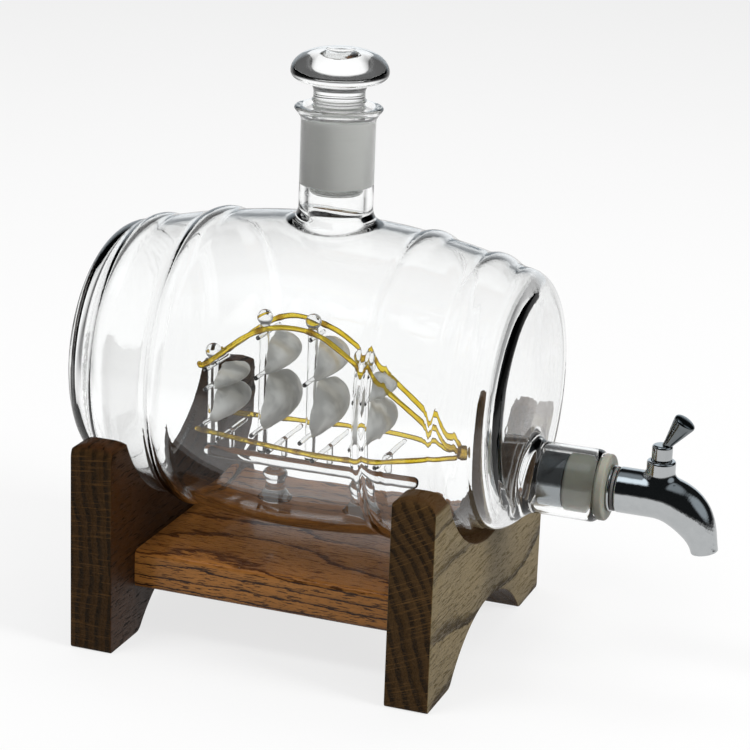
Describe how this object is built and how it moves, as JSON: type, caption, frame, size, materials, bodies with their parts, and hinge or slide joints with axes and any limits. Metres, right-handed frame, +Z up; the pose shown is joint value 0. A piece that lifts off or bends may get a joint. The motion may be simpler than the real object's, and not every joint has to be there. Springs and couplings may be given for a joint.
{
  "type": "barrel decanter with tap",
  "caption": "Glass barrel decanter on oak cradles, with a ground-glass stopper, a glass ship inside and a chrome tap that turns on and off.",
  "frame": {"origin": "middle of the length and width, at the underside of the stand's feet", "axes": "+X along the barrel's axis towards the tap, +Y across the stand, +Z up"},
  "size_m": [0.248, 0.1364, 0.228],
  "materials": {
    "oak": "dark stained, semi-gloss varnish",
    "dowel_wood": "plain",
    "clear_glass": "clear, fire polished",
    "frosted_glass": "frosted",
    "amber_glass": "clear, coloured",
    "chrome": "polished",
    "brass": "turned",
    "silicone": "translucent grey",
    "rubber": "matt"
  },
  "bodies": {
    "stand": {"front_cradle": "oak", "rear_cradle": "oak", "cross_board": "oak", "dowel_front_left": "dowel_wood", "dowel_front_right": "dowel_wood", "dowel_rear_left": "dowel_wood", "dowel_rear_right": "dowel_wood"},
    "barrel": {"glass_barrel": "clear_glass", "glass_neck": "clear_glass", "glass_spigot": "clear_glass", "ship_keel": "clear_glass", "ship_foot_rear": "clear_glass", "ship_foot_front": "clear_glass", "ship_mast_1": "clear_glass", "ship_topsail_1": "frosted_glass", "ship_mainsail_1": "frosted_glass", "ship_mast_2": "clear_glass", "ship_topsail_2": "frosted_glass", "ship_mainsail_2": "frosted_glass", "ship_mast_3": "clear_glass", "ship_topsail_3": "frosted_glass", "ship_mainsail_3": "frosted_glass", "ship_mast_4": "clear_glass", "ship_topsail_4": "frosted_glass", "ship_mainsail_4": "frosted_glass", "ship_thwart_stern": "clear_glass", "ship_thwart_aft": "clear_glass", "ship_thwart_middle": "clear_glass", "ship_thwart_bow": "clear_glass", "ship_rail_left": "amber_glass", "ship_rail_right": "amber_glass", "ship_stay_left": "amber_glass", "ship_stay_right": "amber_glass", "ship_bow_knob": "amber_glass"},
    "stopper": {"stopper_plug": "frosted_glass", "stopper_cap": "clear_glass"},
    "tap": {"tap_seal": "silicone", "tap_back_nut": "chrome", "tap_shank": "chrome", "tap_collar": "chrome", "tap_washer": "silicone", "tap_body": "chrome", "gland_ring": "chrome"},
    "tap_handle": {"valve_plug": "brass", "valve_o_ring": "rubber", "stem_cap": "chrome", "tap_lever": "chrome"}
  },
  "joints": [
    {"name": "barrel_lift", "type": "slide", "parent": "stand", "child": "barrel", "axis": [0, 0, 1], "range_m": [0, 0.06]},
    {"name": "stopper_lift", "type": "slide", "parent": "barrel", "child": "stopper", "axis": [0, 0, 1], "range_m": [0, 0.045]},
    {"name": "tap_pull", "type": "slide", "parent": "barrel", "child": "tap", "axis": [1, 0, 0], "range_m": [0, 0.03]},
    {"name": "tap_turn", "type": "hinge", "parent": "tap", "child": "tap_handle", "pos_m": [0.10033, 0, 0.073], "axis": [0, 0, 1], "range_deg": [0, 90]}
  ]
}
